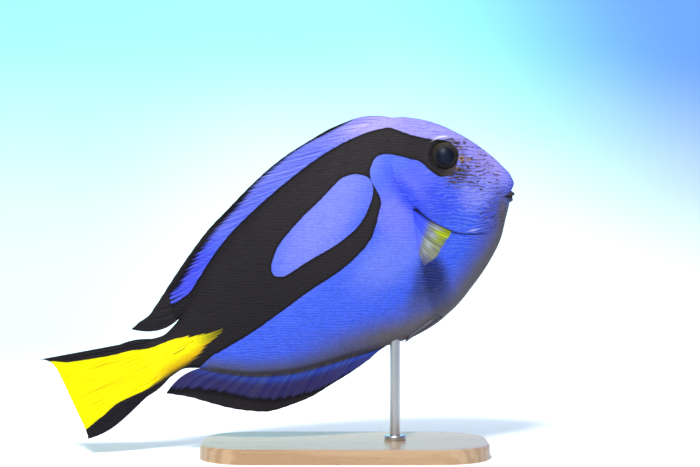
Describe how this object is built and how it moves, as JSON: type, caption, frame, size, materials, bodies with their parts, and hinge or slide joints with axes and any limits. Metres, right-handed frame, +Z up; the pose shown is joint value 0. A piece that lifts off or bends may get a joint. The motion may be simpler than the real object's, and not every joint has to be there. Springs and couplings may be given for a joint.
{
  "type": "regal blue tang",
  "caption": "Life-size regal blue tang swimming nose up, held by a steel rod on a flat wooden display stand.",
  "frame": {"origin": "centre of the stand's flat underside", "axes": "+X towards the snout, +Z up, -Y the fish's right side, which the picture shows"},
  "size_m": [0.1997, 0.0904, 0.1424],
  "materials": {
    "skin": "satin, fine scales, with black palette band and yellow tail wedge",
    "eye": "wet gloss",
    "fin_blue": "satin membrane with raised rays and a black margin",
    "fin_yellow": "satin membrane with raised rays and black edges",
    "fin_pectoral": "satin membrane, blue at the base and yellow outside",
    "spine": "satin",
    "stand_wood": "satin varnish",
    "stand_steel": "brushed"
  },
  "bodies": {
    "root": {"head": "skin", "torso": "skin", "tail_stalk": "skin", "eye_right": "eye", "eye_left": "eye", "dorsal_fin": "fin_blue", "anal_fin": "fin_blue", "caudal_fin": "fin_yellow", "pectoral_fin_right": "fin_pectoral", "pectoral_fin_left": "fin_pectoral", "pelvic_fin_right": "fin_blue", "pelvic_fin_left": "fin_blue", "tail_spine_right": "spine", "tail_spine_left": "spine", "stand_base": "stand_wood", "stand_rod": "stand_steel"}
  },
  "joints": []
}
